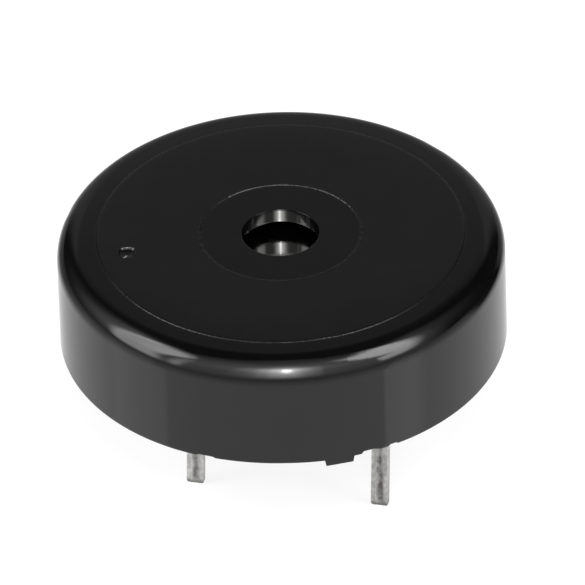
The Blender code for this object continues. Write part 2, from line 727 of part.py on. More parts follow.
def lead_wire(name, start, end):
    """A thin wire that leaves its pad straight up, bows sideways and rises into the upper dot."""
    across = (end - start).cross(Vector((0, 0, 1))).normalized()
    bend = Vector((0, 0, WIRE_BEND))
    curve = bpy.data.curves.new(name, "CURVE")
    curve.dimensions = "3D"
    curve.bevel_depth = WIRE_RADIUS
    curve.bevel_resolution = 2
    curve.use_fill_caps = True
    spline = curve.splines.new("POLY")
    spline.points.add(WIRE_POINTS - 1)
    for step, point in enumerate(spline.points):
        t = step / (WIRE_POINTS - 1)
        s = 1.0 - t
        route = s**3 * start + 3 * s**2 * t * (start + bend) + 3 * s * t**2 * (end - bend) + t**3 * end
        bow = across * WIRE_BOW * math.sin(math.pi * t) ** 2
        point.co = (*(route + bow), 1.0)
    add_piece(name, curve, "white_insulation")


def make_leads():
    """Three leads from the inner board: to the plate, the main electrode and the feedback electrode."""
    for name, radius, angle, surface in (
            ("plate", PLATE_DOT_RADIUS, PLATE_WIRE_ANGLE, PLATE_BOTTOM_Z),
            ("main", MAIN_DOT_RADIUS, MAIN_WIRE_ANGLE, SILVER_BOTTOM_Z),
            ("feedback", FEEDBACK_DOT_RADIUS, FEEDBACK_WIRE_ANGLE, SILVER_BOTTOM_Z)):
        pad = on_circle(PAD_RADIUS, angle + WIRE_SWEEP, BOARD_TOP_Z + SEAT_GAP)
        joint = on_circle(radius, angle, surface - SEAT_GAP)
        solder_dot(f"{name}_pad_solder", pad, 1)
        solder_dot(f"{name}_joint_solder", joint, -1)
        reach = Vector((0, 0, DOT_HEIGHT + SEAT_GAP))
        lead_wire(f"{name}_wire", pad + reach, joint - reach)


# ---------------------------------------------------------------- the buzzer


def build_buzzer():
    """Makes every piece of the buzzer, from the outside in."""
    empty_scene()
    make_case()
    make_base_plate()
    make_sealant()
    make_pins()
    make_diaphragm()
    make_electrodes()
    make_adhesive()
    make_board()
    make_pin_solder()
    make_transistor()
    make_chips()
    make_leads()


build_buzzer()
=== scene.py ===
"""The looks of a round two-pin piezo buzzer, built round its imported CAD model.

Everything is in metres, in the CAD model's frame: Z = 0 is the surface of the board that carries
the buzzer, +Z points out of the sound hole, and the pins stand 10 mm apart along X. The materials'
noise scales are in cycles per metre, and their bump depths in metres.
"""

import math
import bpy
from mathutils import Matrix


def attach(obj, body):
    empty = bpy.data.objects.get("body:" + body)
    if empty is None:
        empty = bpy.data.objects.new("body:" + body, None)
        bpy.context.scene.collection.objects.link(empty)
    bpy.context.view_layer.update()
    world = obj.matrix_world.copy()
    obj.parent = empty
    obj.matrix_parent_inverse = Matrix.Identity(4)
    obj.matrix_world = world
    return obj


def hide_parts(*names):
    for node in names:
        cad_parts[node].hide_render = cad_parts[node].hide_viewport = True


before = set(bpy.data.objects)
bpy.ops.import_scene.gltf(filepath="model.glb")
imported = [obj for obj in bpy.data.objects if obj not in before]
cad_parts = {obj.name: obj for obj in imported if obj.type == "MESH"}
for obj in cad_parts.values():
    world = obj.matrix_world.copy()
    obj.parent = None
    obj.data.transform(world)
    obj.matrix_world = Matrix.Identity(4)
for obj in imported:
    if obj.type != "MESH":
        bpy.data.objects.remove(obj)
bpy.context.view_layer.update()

from fnmatch import fnmatch

import bmesh
import bpy
from mathutils import Matrix, Vector

MM = 0.001

# ---------------------------------------------------------------- sizes of the case
# They are the CAD model's, apart from those that follow the photograph a little more closely: the
# wall's and the rim's radius, the rim's height, the rounds, the face's crown, the band's outer
# step, and the standoffs and notches.

HOLE_RADIUS = 2.03 * MM
BAND_INNER_RADIUS = 4.22 * MM
BAND_OUTER_RADIUS = 9.69 * MM
POCKET_RADIUS = 10.15 * MM
CAVITY_RADIUS = 9.2 * MM
BORE_RADIUS = 10.75 * MM
SEAT_RADIUS = 11.0 * MM
WALL_RADIUS = 11.76 * MM
RIM_RADIUS = 11.75 * MM

RIM_Z = 0.41 * MM
SEAT_Z = 1.78 * MM
POCKET_BOTTOM_Z = 4.56 * MM
LEDGE_Z = 5.32 * MM
ROOF_Z = 5.92 * MM
FACE_Z = 6.72 * MM
BAND_Z = 6.77 * MM

CORNER_RADIUS = 1.295 * MM
HOLE_TOP_ROUND = 0.025 * MM
HOLE_BOTTOM_ROUND = 0.07 * MM
CAVITY_ROUND = 0.1 * MM
SEAT_ROUND = 0.05 * MM
RIM_ROUND = 0.07 * MM
RIM_REACH = 0.4 * MM  # how far up the wall the rim's unevenness fades out
RIM_DRAFT = 0.001 * MM  # how much narrower the wall is halfway up that

CROWN_START = 7.0 * MM  # the face is flat inside this radius, and falls away outside it
CROWN_SLOPE = 0.028  # of the face where it meets the shoulder
CROWN_RADII = (5.0, 6.0, 7.0, 7.5, 8.0, 8.5, 9.0, 9.3)  # millimetres, of points on the band
FACE_EDGE_RADIUS = 10.0 * MM  # of one more point, on the plain face outside the band

STEP_WIDTH = 0.042 * MM  # of the band's crisp inner step
STEP_FOOT_ROUND, STEP_TOP_ROUND = 0.03 * MM, 0.105 * MM
WORN_START, WORN_END = 9.634 * MM, 9.6815 * MM  # of its outer step, which is worn to a slope
WORN_TOP_ROUND, WORN_FOOT_ROUND = 0.20 * MM, 0.08 * MM
BAND_MIDDLE = (BAND_INNER_RADIUS + BAND_OUTER_RADIUS) / 2
BAND_HALF = (BAND_OUTER_RADIUS - BAND_INNER_RADIUS) / 2
SPARK_MARGIN = 0.09 * MM  # how far the sparked finish reaches past the band
SPARK_DEPTH = 0.2 * MM  # and how far below the face's level
BORE_MARGIN = 0.02 * MM  # how far the bore's finish reaches past the hole's radius

STANDOFF_ANGLES = (-62.1, 57.9, 177.9)
STANDOFF_WIDTH = 1.58 * MM
STANDOFF_TAPER = 0.06 * MM  # what each side loses from the rim to the foot
STANDOFF_ROUND, STANDOFF_MARGIN = 0.06 * MM, 0.4 * MM
NOTCHES = (  # angle, width, depth, and the widths of the slopes at either end
    (-53.6, 1.10 * MM, 0.14 * MM, 0.12 * MM, 0.45 * MM),
    (-47.4, 0.62 * MM, 0.085 * MM, 0.15 * MM, 0.15 * MM),
    (-96.9, 1.1 * MM, 0.07 * MM, 0.15 * MM, 0.15 * MM),
)
NOTCH_ROUND, NOTCH_MARGIN = 0.08 * MM, 0.3 * MM
RIM_CLEARANCE = 0.3  # degrees between a standoff or notch and the rim's plain points
RIM_WARP = (  # angle, and how far the rim lies below its level there
    (-180.0, 0.03 * MM), (-105.0, 0.03 * MM), (-92.0, 0.0), (-76.0, 0.005 * MM),
    (-66.0, 0.05 * MM), (-41.0, 0.07 * MM), (20.0, 0.07 * MM), (90.0, 0.03 * MM),
    (180.0, 0.03 * MM),
)

GATE_PLACE = (-7.45 * MM, -3.347 * MM)
GATE_TURN = 14.5  # degrees, of the dimple's long axis
GATE_HALF = (0.45 * MM, 0.465 * MM)
GATE_DEPTH = 0.10 * MM
GATE_WALL = 0.08 * MM  # how far the dimple's wall leans inwards
GATE_FILLET = (0.03 * MM, 0.012 * MM)  # its width on the floor, and its height on the wall
GATE_POWER = 3  # of the rounded square that the dimple's outline is
GATE_WAVE, GATE_WAVE_LENGTH = 0.004 * MM, 0.26 * MM
NUB_PLACE = (-7.485 * MM, -3.68 * MM)
NUB_TURN = 67.6  # degrees
NUB_HALF = (0.20 * MM, 0.05 * MM, 0.09 * MM)

# ---------------------------------------------------------------- sizes of the pins
# They too are the CAD model's, apart from the width below the shoulder, the bow and the lean.

PIN_X = 5.0 * MM
PIN_WIDTH = 0.935 * MM
PIN_THICKNESS = 0.4 * MM
PIN_TIP_Z = -10.35 * MM
PIN_TOP_Z = 3.63 * MM
PIN_BEND_Z = -5.5 * MM  # a pin bows gently down to this height, and is straight below it
PINS = (  # name, place along X, how far aside it is at PIN_BEND_Z, and its lean below that
    ("left", -PIN_X, 0.090 * MM, -0.034),
    ("right", PIN_X, 0.118 * MM, -0.036),
)
PIN_EDGE_ROUND = 0.055 * MM
TIP_STATIONS = (  # height over the tip, and how much narrower and thinner the pin is there
    (0.0, 0.28 * MM, 0.23 * MM),
    (0.012 * MM, 0.20 * MM, 0.18 * MM),
    (0.04 * MM, 0.12 * MM, 0.12 * MM),
    (0.08 * MM, 0.06 * MM, 0.08 * MM),
    (0.13 * MM, 0.025 * MM, 0.045 * MM),
    (0.18 * MM, 0.005 * MM, 0.015 * MM),
    (0.22 * MM, 0.0, 0.0),
)
SHAFT_LENGTH, SHAFT_STEPS = 11.95 * MM, 24  # from the tip's taper up to the shoulder
SHOULDER_WIDTH = 1.7 * MM
SHOULDER_THICKNESS = 0.28 * MM
SHOULDER_BOTTOM_Z, SHOULDER_TOP_Z = 1.81 * MM, 2.20 * MM
SHOULDER_STEP = 0.001 * MM  # height over which a pin changes to its shoulder and to its tail
TAIL_WIDTH = 0.9 * MM
TAIL_STATIONS = (  # depth below the tail's end, and how much narrower and thinner it is there
    (0.08 * MM, 0.0, 0.0),
    (0.03 * MM, 0.04 * MM, 0.03 * MM),
    (0.0, 0.1 * MM, 0.1 * MM),
)
GROOVE_DEPTH, SHOULDER_GROOVE_DEPTH = 0.05 * MM, 0.01 * MM
GROOVE_BRINK, GROOVE_BED = 0.22 * MM, 0.06 * MM  # half widths at the top and at the bottom
GROOVE_ROUND = 0.08 * MM
GROOVE_RUNOUT, GROOVE_LEAST = 0.5 * MM, 0.2  # length over the tip, and share of the depth there
PIN_SMOOTH_ANGLE = 40.0  # degrees

# ---------------------------------------------------------------- camera

VIEW_AZIMUTH = 14.5
VIEW_ELEVATION = 0.6349275  # radians
VIEW_ROLL = -0.0327804  # radians
VIEW_SCALE = 184.974  # pixels for the band's outer radius
VIEW_DISTANCE = 100.0  # in outer radii of the band, as is the offset
VIEW_OFFSET = (-0.0571545 + 0.5 / VIEW_SCALE, -0.3319733 + 0.5 / VIEW_SCALE)
FRAME_PIXELS = 585
SENSOR = 36.0  # millimetres
CLIP_START, CLIP_END = 0.1, 10.0


def make_camera():
    """The camera at the reference view: a long lens, a little rolled."""
    level, rise = math.cos(VIEW_ELEVATION), math.sin(VIEW_ELEVATION)
    upright, roll = math.cos(VIEW_ROLL), math.sin(VIEW_ROLL)
    across, along = VIEW_OFFSET
    place = BAND_OUTER_RADIUS * Vector((
        -across, rise * along - level * VIEW_DISTANCE, level * along + rise * VIEW_DISTANCE))
    right = Vector((upright, roll * rise, roll * level))
    up = Vector((-roll, upright * rise, upright * level))
    back = Vector((0, -level, rise))
    turn = Matrix((right, up, back)).transposed().to_4x4()
    turn.translation = place
    data = bpy.data.cameras.new("camera")
    data.sensor_width = SENSOR
    data.lens = VIEW_SCALE * VIEW_DISTANCE * SENSOR / FRAME_PIXELS
    data.clip_start, data.clip_end = CLIP_START, CLIP_END
    camera = bpy.data.objects.new("camera", data)
    bpy.context.scene.collection.objects.link(camera)
    swing = Matrix.Rotation(math.radians(VIEW_AZIMUTH), 4, "Z")
    camera.matrix_world = Matrix.Translation((0, 0, BAND_Z)) @ swing @ turn
    bpy.context.scene.camera = camera


def direction(azimuth):
    """The level unit vector at an azimuth right of the camera's, in degrees."""
    turn = math.radians(VIEW_AZIMUTH + azimuth)
    return Vector((math.sin(turn), -math.cos(turn), 0.0))


# ---------------------------------------------------------------- node helpers
# A value handed to one of these is a number, vector or colour, or a node or one of its outputs.


def plug(tree, value, socket):
    """Links a node's output to a socket, or sets the socket to a plain value."""
    if isinstance(value, bpy.types.Node):
        value = value.outputs[0]
    if isinstance(value, bpy.types.NodeSocket):
        tree.links.new(value, socket)
    elif socket.type == "RGBA" and len(value) == 3:
        socket.default_value = (*value, 1.0)
    else:
        socket.default_value = value


def node(tree, kind, inputs=None, **settings):
    """Adds a node. inputs maps a socket's name or number to a value."""
    made = tree.nodes.new(kind)
    for key, value in settings.items():
        setattr(made, key, value)
    for key, value in (inputs or {}).items():
        plug(tree, value, made.inputs[key])
    return made


def maths(tree, operation, first, second=0.0, third=0.0):
    """A Math node."""
    return node(tree, "ShaderNodeMath", {0: first, 1: second, 2: third}, operation=operation)


def vector_maths(tree, operation, first, second):
    """A Vector Math node."""
    return node(tree, "ShaderNodeVectorMath", {0: first, 1: second}, operation=operation)


def axes(tree, vector):
    """The X, Y and Z of a vector."""
    return tuple(node(tree, "ShaderNodeSeparateXYZ", {0: vector}).outputs)


def product(tree, *factors):
    """The factors multiplied together."""
    result = factors[0]
    for factor in factors[1:]:
        result = maths(tree, "MULTIPLY", result, factor)
    return result


def total(tree, *terms):
    """The terms added up."""
    result = terms[0]
    for term in terms[1:]:
        result = maths(tree, "ADD", result, term)
    return result


def hypotenuse(tree, first, second):
    """The square root of the sum of two squares."""
    squares = maths(tree, "MULTIPLY_ADD", first, first, maths(tree, "MULTIPLY", second, second))
    return maths(tree, "SQRT", squares)


def ranged(tree, value, low, high, to_low, to_high, shape="LINEAR"):
    """A clamped Map Range node."""
    return node(
        tree, "ShaderNodeMapRange",
        {"Value": value, "From Min": low, "From Max": high, "To Min": to_low, "To Max": to_high},
        interpolation_type=shape)


def eased(tree, value, low, high, to_low, to_high):
    """The same with a soft start and end."""
    return ranged(tree, value, low, high, to_low, to_high, "SMOOTHSTEP")


def spread(tree, texture, at_low, at_high):
    """A value that follows a noise texture from its usual lowest to its usual highest level."""
    return ranged(tree, texture, 0.3, 0.7, at_low, at_high)


def noise(tree, vector, scale, detail, rough):
    """The value of a Noise texture, from 0 to 1."""
    return node(
        tree, "ShaderNodeTexNoise",
        {"Vector": vector, "Scale": scale, "Detail": detail, "Roughness": rough})


def stretched_noise(tree, vector, scales, detail, rough):
    """The same with its own scale along each axis."""
    stretched = node(tree, "ShaderNodeMapping", {"Vector": vector, "Scale": scales})
    return noise(tree, stretched, 1.0, detail, rough)


def blend(tree, factor, first, second):
    """A mix of two colours. Inputs 6 and 7 and output 2 are a Mix node's colours."""
    inputs = {"Factor": factor, 6: first, 7: second}
    return node(tree, "ShaderNodeMix", inputs, data_type="RGBA").outputs[2]


def bumped(tree, height, distance, strength=1.0, normal=None):
    """A Bump node over a height from 0 to 1, and the depth in metres that 1 stands for."""
    inputs = {"Height": height, "Distance": distance, "Strength": strength}
    if normal is not None:
        inputs["Normal"] = normal
    return node(tree, "ShaderNodeBump", inputs)


def new_material(name):
    """A new material, its tree, its Principled shader, and object coordinates."""
    made = bpy.data.materials.new(name)
    made.use_nodes = True
    tree = made.node_tree
    shader = tree.nodes["Principled BSDF"]
    place = node(tree, "ShaderNodeTexCoord").outputs["Object"]
    return made, tree, shader, place


def feed(tree, shader, **inputs):
    """Sets or links a shader's sockets: underscores stand for spaces."""
    for key, value in inputs.items():
        plug(tree, value, shader.inputs[key.replace("_", " ")])


# ---------------------------------------------------------------- materials

RING_WEAR = (  # where the band's edge catches light: radius, noise scale, bump depth, dulling
    (BAND_INNER_RADIUS, 3300.0, 65e-6, 0.18),
    (BAND_OUTER_RADIUS - 0.03 * MM, 7500.0, 20e-6, 0.10),
)
RING_FADE = (0.07 * MM, 0.14 * MM)  # from a ring's radius to where its wear starts to fade and ends
POLISH_FADE = (0.980, 0.9965)  # cosine of the angle from the back of the sound hole's wall
GROOVE_FADE = (0.07 * MM, 0.29 * MM)  # from a pin's middle line, for the groove's darker, browner colour
GROOVE_DARKENING_START, GROOVE_DARKENING_FULL = 0.15 * MM, 0.6 * MM  # above the tip: where the groove's darker colour starts, and where it is full
CUT_END_AND_SHADE_FADE = (0.12 * MM, 0.44 * MM)  # above the tip, for the cut end's grey and for painted shade on the tip's downward bevel


def gloss_plastic():
    """Jet-black moulded plastic with a polished skin: faint orange peel, haze and marks."""
    made, tree, shader, place = new_material("moulded_black_gloss")
    smudge = noise(tree, place, 420.0, 3.0, 0.55)
    peel = bumped(tree, noise(tree, place, 1500.0, 1.0, 0.4), 0.5e-6)
    feed(tree, shader,
         Base_Color=blend(tree, smudge, (0.0014, 0.0014, 0.0015), (0.0024, 0.0024, 0.0025)),
         Roughness=ranged(tree, smudge, 0.35, 0.7, 0.05, 0.085),
         Normal=bumped(tree, noise(tree, place, 16000.0, 2.0, 0.6), 0.25e-6, 1.0, peel))
    return made


def spark_plastic():
    """The same plastic with the band's fine sparked texture, and the wear on its two steps."""
    made, tree, shader, place = new_material("moulded_black_sparked")
    patch = noise(tree, place, 520.0, 3.0, 0.55)
    rough = spread(tree, patch, 0.17, 0.22)
    normal = bumped(tree, noise(tree, place, 7000.0, 3.0, 0.65), 1.6e-6)
    x, y, _ = axes(tree, place)
    radius = hypotenuse(tree, x, y)
    for ring, fineness, depth, dulling in RING_WEAR:
        gap = maths(tree, "ABSOLUTE", maths(tree, "SUBTRACT", radius, ring))
        wear = eased(tree, gap, *RING_FADE, 1.0, 0.0)
        normal = bumped(tree, noise(tree, place, fineness, 1.0, 0.5), depth, wear, normal)
        rough = maths(tree, "MULTIPLY_ADD", wear, dulling, rough)
    feed(tree, shader,
         Base_Color=blend(tree, patch, (0.0016, 0.0016, 0.0017), (0.0028, 0.0028, 0.0029)),
         Roughness=rough, Normal=normal)
    return made


def bore_plastic():
    """The same plastic on the sound hole's wall: fine scratches, and a polished patch behind."""
    made, tree, shader, place = new_material("moulded_black_bore")
    patch = noise(tree, place, 900.0, 3.0, 0.6)
    lines = stretched_noise(tree, place, (9000.0, 9000.0, 2500.0), 2.0, 0.6)
    backwards = direction(180.0) / HOLE_RADIUS
    towards_back = vector_maths(tree, "DOT_PRODUCT", place, backwards).outputs["Value"]
    feed(tree, shader,
         Base_Color=blend(tree, patch, (0.0014, 0.0014, 0.0015), (0.0026, 0.0026, 0.0027)),
         Roughness=spread(tree, patch, 0.07, 0.12),
         Normal=bumped(tree, lines, 1.0e-6),
         Specular_IOR_Level=eased(tree, towards_back, *POLISH_FADE, 0.33, 1.0))
    return made


def torn_plastic_with_painted_glint():
    """The gate's broken stub: torn plastic, painted lighter, partly for the whitening of the strain
    and partly as a painted glint.
    """
    made, tree, shader, place = new_material("moulded_black_torn_painted_glint")
    patch = noise(tree, place, 14000.0, 2.0, 0.6)
    feed(tree, shader,
         # The lighter colour is partly strain whitening and partly a painted glint.
         Base_Color=blend(tree, patch, (0.03, 0.03, 0.03), (0.22, 0.22, 0.21)),
         Roughness=spread(tree, patch, 0.35, 0.6),
         Normal=bumped(tree, patch, 12e-6))
    return made


def pin_metal():
    """Tinned strip: drawn lines, dull patches, a darker and browner groove, and grey towards the
    tip that is partly the cut end's bare metal and partly painted shade on its downward bevel.
    """
    made, tree, shader, place = new_material("tinned_strip")
    x, _, z = axes(tree, place)
    lines = stretched_noise(tree, place, (24000.0, 24000.0, 900.0), 2.0, 0.6)
    patch = stretched_noise(tree, place, (4200.0, 4200.0, 3200.0), 3.0, 0.6)
    small = stretched_noise(tree, place, (3800.0, 3800.0, 2300.0), 2.0, 0.6)
    large = stretched_noise(tree, place, (2100.0, 2100.0, 1300.0), 1.0, 0.5)
    spots = eased(tree, small, 0.38, 0.66, 0.0, 1.0)
    stains = eased(tree, large, 0.48, 0.6, 0.0, 1.0)
    mottle = maths(
        tree, "MULTIPLY_ADD", spread(tree, lines, 0.0, 1.0), 0.25,
        product(tree, ranged(tree, patch, 0.35, 0.65, 0.0, 1.0), 0.75))

    across = maths(tree, "SUBTRACT", maths(tree, "ABSOLUTE", x), PIN_X)
    # The groove is darker and browner, less so near the tip where it runs out.
    groove = product(
        tree, eased(tree, maths(tree, "ABSOLUTE", across), *GROOVE_FADE, 1.0, 0.0),
        eased(tree, z, PIN_TIP_Z + GROOVE_DARKENING_START, PIN_TIP_Z + GROOVE_DARKENING_FULL, 0.35, 1.0))
    # Grey towards the tip: partly the cut end's bare metal, partly painted shade where the tip's
    # bevel faces down.
    cut_end_and_painted_shade = eased(tree, z, PIN_TIP_Z + CUT_END_AND_SHADE_FADE[0], PIN_TIP_Z + CUT_END_AND_SHADE_FADE[1], 1.0, 0.0)

    bright = blend(tree, mottle, (0.52, 0.515, 0.505), (0.86, 0.855, 0.845))
    dull = blend(tree, spots, (0.44, 0.43, 0.41), (0.21, 0.21, 0.195))
    brown = blend(tree, spots, (0.33, 0.29, 0.285), (0.15, 0.12, 0.115))
    plated = blend(tree, groove, bright, blend(tree, stains, dull, brown))
    grey = blend(tree, patch, (0.25, 0.245, 0.23), (0.42, 0.41, 0.395))
    feed(tree, shader, Base_Color=blend(tree, cut_end_and_painted_shade, plated, grey), Metallic=1.0,
         Roughness=spread(tree, patch, 0.4, 0.52), Normal=bumped(tree, mottle, 3e-6))
    return made


def plate_metal():
    """The diaphragm's rolled nickel alloy: nearly a mirror, with faint rolling lines and specks."""
    made, tree, shader, place = new_material("rolled_nickel_alloy")
    lines = stretched_noise(tree, place, (1500.0, 42000.0, 1500.0), 2.0, 0.6)
    patch = noise(tree, place, 1600.0, 2.0, 0.5)
    specks = eased(tree, noise(tree, place, 5200.0, 2.0, 0.6), 0.62, 0.7, 0.0, 1.0)
    metal = blend(tree, patch, (0.46, 0.455, 0.44), (0.56, 0.555, 0.54))
    feed(tree, shader, Base_Color=blend(tree, specks, metal, (0.66, 0.65, 0.63)), Metallic=1.0,
         Roughness=maths(tree, "MULTIPLY_ADD", specks, 0.10, spread(tree, patch, 0.09, 0.14)),
         Normal=bumped(tree, specks, 0.8e-6, 1.0, bumped(tree, lines, 0.08e-6)))
    return made


def grained(name, dark, light, rough, scale, depth, metallic):
    """A plain finish with the mottling, uneven sheen and grain of its kind."""
    made, tree, shader, place = new_material(name)
    patch = noise(tree, place, scale, 3.0, 0.6)
    fine = noise(tree, place, scale * 9.0, 2.0, 0.6)
    feed(tree, shader, Base_Color=blend(tree, patch, dark, light), Metallic=metallic,
         Roughness=spread(tree, patch, *rough), Normal=bumped(tree, fine, depth))
    return made


def board_material():
    """Green solder mask over copper tracks that show through it as lighter lines."""
    made, tree, shader, place = new_material("solder_mask")
    tracks = node(tree, "ShaderNodeTexBrick", {
        "Vector": place, "Scale": 1.0, "Brick Width": 2.3 * MM, "Row Height": 1.1 * MM,
        "Mortar Size": 0.12 * MM, "Color1": (0, 0, 0, 1), "Color2": (0, 0, 0, 1),
        "Mortar": (1, 1, 1, 1)}).outputs["Color"]
    patch = noise(tree, place, 900.0, 3.0, 0.6)
    mask = blend(tree, patch, (0.010, 0.085, 0.035), (0.016, 0.115, 0.05))
    feed(tree, shader, Base_Color=blend(tree, tracks, mask, (0.04, 0.22, 0.09)),
         Roughness=spread(tree, patch, 0.28, 0.42), Normal=bumped(tree, tracks, 20e-6, 0.6))
    return made


# ---------------------------------------------------------------- mesh helpers

SMOOTH_ANGLE = 30.0  # degrees: edges that bend more than this stay sharp


def smooth(mesh, angle=SMOOTH_ANGLE):
    """Smooth shading, with sharp edges where the surface bends by more than an angle."""
    mesh.shade_smooth()
    mesh.set_sharp_from_angle(angle=math.radians(angle))


def link(name, mesh, materials):
    """Adds a piece of the buzzer that rides on the frame."""
    piece = bpy.data.objects.new(name, mesh)
    bpy.context.scene.collection.objects.link(piece)
    for material in materials:
        mesh.materials.append(material)
    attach(piece, "root")
    return piece


def rounded(corners):
    """Points along (x, y, radius, steps) corners, each turned into an arc of its radius."""
    points = []
    for number, (x, y, radius, steps) in enumerate(corners):
        here = Vector((x, y))
        if radius == 0.0:
            points.append((x, y))
            continue
        before = (Vector(corners[number - 1][:2]) - here).normalized()
        after = (Vector(corners[(number + 1) % len(corners)][:2]) - here).normalized()
        half = math.acos(max(-1.0, min(1.0, before.dot(after)))) / 2
        centre = here + (before + after).normalized() * radius / math.sin(half)
        start = here + before * radius / math.tan(half) - centre
        end = here + after * radius / math.tan(half) - centre
        sweep = math.pi - 2 * half
        for step in range(steps + 1):
            t = step / steps
            arm = start * math.sin((1 - t) * sweep) + end * math.sin(t * sweep)
            points.append(tuple(centre + arm / math.sin(sweep)))
    return points


def grid_mesh(name, columns, wrap, close_loop, smooth_angle=SMOOTH_ANGLE):
    """A mesh from columns of points that run side by side.

    wrap joins the last column to the first, and without it both are capped. close_loop joins each
    column's last point to its first.
    """
    shape = bmesh.new()
    rows = [[shape.verts.new(point) for point in column] for column in columns]
    count = len(rows)
    for number in range(count if wrap else count - 1):
        here, there = rows[number], rows[(number + 1) % count]
        size = len(here)
        for step in range(size if close_loop else size - 1):
            after = (step + 1) % size
            shape.faces.new((here[step], here[after], there[after], there[step]))
    if not wrap:
        shape.faces.new(reversed(rows[0]))
        shape.faces.new(rows[-1])
    bmesh.ops.recalc_face_normals(shape, faces=shape.faces)
    mesh = bpy.data.meshes.new(name)
    shape.to_mesh(mesh)
    shape.free()
    smooth(mesh, smooth_angle)
    return mesh


# ---------------------------------------------------------------- case

SUPPORT_MARGIN = 0.04 * MM  # from a long side's ends to the points that keep its shading flat
LONG_SIDE = 0.15 * MM
TOUCHING = 0.01 * MM  # tolerance for points that lie on a radius
POLE_DISTANCE = 1e-8  # points closer than this are one
GLOSS, SPARKED, BORE, TORN = range(4)  # the case's material slots


def crown(radius):
    """How far the face has fallen away at a radius."""
    past = max(0.0, radius - CROWN_START)
    return 0.5 * CROWN_SLOPE * past**2 / (WALL_RADIUS - CORNER_RADIUS - CROWN_START)


def rim_warp(angle):
    """How far the moulding's rim lies below its level at an angle from -180 to 180 degrees."""
    for (low, start), (high, end) in zip(RIM_WARP, RIM_WARP[1:]):
        if angle <= high:
            break
    return start + (end - start) * (angle - low) / (high - low)


def rim_bend(width, slopes, level, radius, steps, margin):
    """A standoff or notch as (sideways, height) points: from the rim to a level and back."""
    half = width / 2
    return rounded([
        (-half - margin, RIM_Z, 0.0, 1),
        (-half, RIM_Z, radius, steps),
        (-half + slopes[0], level, radius, steps),
        (half - slopes[1], level, radius, steps),
        (half, RIM_Z, radius, steps),
        (half + margin, RIM_Z, 0.0, 1),
    ])


def rim_outline():
    """The rim's lower edge as (angle in degrees, height) points all the way round."""
    foot = rim_bend(
        STANDOFF_WIDTH, (STANDOFF_TAPER, STANDOFF_TAPER), 0.0, STANDOFF_ROUND, 4, STANDOFF_MARGIN)
    bends = [(angle, foot) for angle in STANDOFF_ANGLES]
    for angle, width, depth, *slopes in NOTCHES:
        bends.append((angle, rim_bend(width, slopes, RIM_Z + depth, NOTCH_ROUND, 3, NOTCH_MARGIN)))
    outline, taken = [], []
    for angle, points in bends:
        turned = [(angle + math.degrees(along / RIM_RADIUS), height) for along, height in points]
        outline += turned
        taken.append((turned[0][0] - RIM_CLEARANCE, turned[-1][0] + RIM_CLEARANCE))
    for step in range(-180, 180):
        if not any(low < step < high or low < step + 360 < high for low, high in taken):
            outline.append((float(step), RIM_Z))
    wrapped = [(angle if angle < 180.0 else angle - 360.0, height) for angle, height in outline]
    return sorted(
        (angle, height - rim_warp(angle) * min(1.0, height / RIM_Z)) for angle, height in wrapped)


def supported(points):
    """The closed outline with two more points on each long side, close to its ends."""
    result = []
    for number, point in enumerate(points):
        here, there = Vector(point), Vector(points[(number + 1) % len(points)])
        result.append(point)
        length = (there - here).length
        if length > LONG_SIDE:
            share = SUPPORT_MARGIN / length
            result += [tuple(here.lerp(there, share)), tuple(there.lerp(here, share))]
    return result


def case_section():
    """The case's section as (radius, height) points, round a closed loop."""
    shoulder_z = FACE_Z - crown(WALL_RADIUS - CORNER_RADIUS) - CROWN_SLOPE * CORNER_RADIUS
    band_edge = crown(BAND_OUTER_RADIUS)
    corners = [
        (HOLE_RADIUS, ROOF_Z, HOLE_BOTTOM_ROUND, 5),
        (HOLE_RADIUS, FACE_Z, HOLE_TOP_ROUND, 4),
        (BAND_INNER_RADIUS - STEP_WIDTH / 2, FACE_Z, STEP_FOOT_ROUND, 5),
        (BAND_INNER_RADIUS + STEP_WIDTH / 2, BAND_Z, STEP_TOP_ROUND, 9),
    ]
    corners += [(size * MM, BAND_Z - crown(size * MM), 0.0, 1) for size in CROWN_RADII]
    corners += [
        (WORN_START, BAND_Z - band_edge, WORN_TOP_ROUND, 7),
        (WORN_END, FACE_Z - band_edge, WORN_FOOT_ROUND, 5),
        (FACE_EDGE_RADIUS, FACE_Z - crown(FACE_EDGE_RADIUS), 0.0, 1),
        (WALL_RADIUS, shoulder_z, CORNER_RADIUS, 30),
        (RIM_RADIUS - 2 * RIM_DRAFT, RIM_Z + RIM_REACH, 0.0, 1),
        (RIM_RADIUS - RIM_DRAFT, RIM_Z + RIM_REACH / 2, 0.0, 1),
        (RIM_RADIUS, RIM_Z, RIM_ROUND, 5),
        (SEAT_RADIUS, RIM_Z, SEAT_ROUND, 4),
        (SEAT_RADIUS, SEAT_Z, 0.0, 1),
        (BORE_RADIUS, SEAT_Z, 0.0, 1),
        (BORE_RADIUS, POCKET_BOTTOM_Z, 0.0, 1),
        (POCKET_RADIUS, POCKET_BOTTOM_Z, 0.0, 1),
        (POCKET_RADIUS, LEDGE_Z, 0.0, 1),
        (CAVITY_RADIUS, LEDGE_Z, 0.0, 1),
        (CAVITY_RADIUS, ROOF_Z, CAVITY_ROUND, 4),
    ]
    return supported(rounded(corners))


def case_mesh():
    """The case as columns round the axis, whose lower ends follow the rim's outline."""
    section = case_section()
    columns = []
    for angle, rim in rim_outline():
        turn = math.radians(angle)
        column = []
        for radius, height in section:
            if radius > SEAT_RADIUS - TOUCHING and height < RIM_Z + RIM_REACH:
                faded = max(0.0, (height - RIM_Z - RIM_ROUND) / RIM_REACH)
                height += (rim - RIM_Z) * (1 - faded)
            column.append((radius * math.cos(turn), radius * math.sin(turn), height))
        columns.append(column)
    return grid_mesh("case_shell", columns, wrap=True, close_loop=True)


